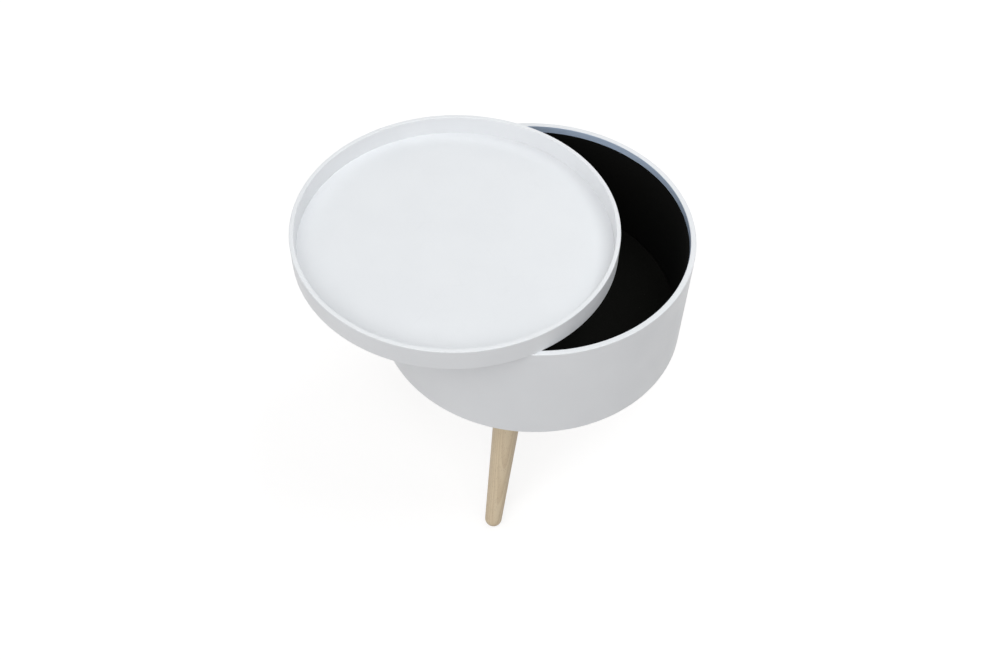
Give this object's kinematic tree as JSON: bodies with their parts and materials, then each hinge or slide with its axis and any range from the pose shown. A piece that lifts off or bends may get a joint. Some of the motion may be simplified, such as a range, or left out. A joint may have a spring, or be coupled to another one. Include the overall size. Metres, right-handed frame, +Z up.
{
  "type": "storage side table",
  "caption": "Round side table: a white lacquered storage drum on splayed tapered beech legs, closed by a shallow lift-off tray with a raised rim.",
  "frame": {"origin": "on the drum's vertical axis, at the surface of the storage floor inside it; the ground is 250.5 mm below", "axes": "+Z up; -Y towards the front leg, with the other two legs at 30 and 150 degrees from +X"},
  "size_m": [0.4899, 0.4437, 0.4214],
  "materials": {
    "white_lacquer": "smooth satin white lacquer on bent plywood and board",
    "black_felt": "thin black felt lining, glued down",
    "beech": "pale straight-grained beech under clear matt lacquer",
    "zinc_steel": "bright zinc-plated steel"
  },
  "bodies": {
    "drum": {"drum_wall": "white_lacquer", "drum_base": "white_lacquer", "drum_lining": "black_felt", "floor_lining": "black_felt", "leg_front": "beech", "leg_right": "beech", "leg_left": "beech", "leg_plate_front": "zinc_steel", "leg_plate_right": "zinc_steel", "leg_plate_left": "zinc_steel", "hanger_bolt_front": "zinc_steel", "hanger_bolt_right": "zinc_steel", "hanger_bolt_left": "zinc_steel", "plate_nut_front": "zinc_steel", "plate_nut_right": "zinc_steel", "plate_nut_left": "zinc_steel", "plate_screws": "zinc_steel"},
    "tray": {"tray_rim": "white_lacquer", "tray_panel": "white_lacquer"}
  },
  "joints": [
    {"name": "tray_lift", "type": "slide", "parent": "drum", "child": "tray", "axis": [0, 0, 1], "range_m": [0, 0.25]}
  ]
}
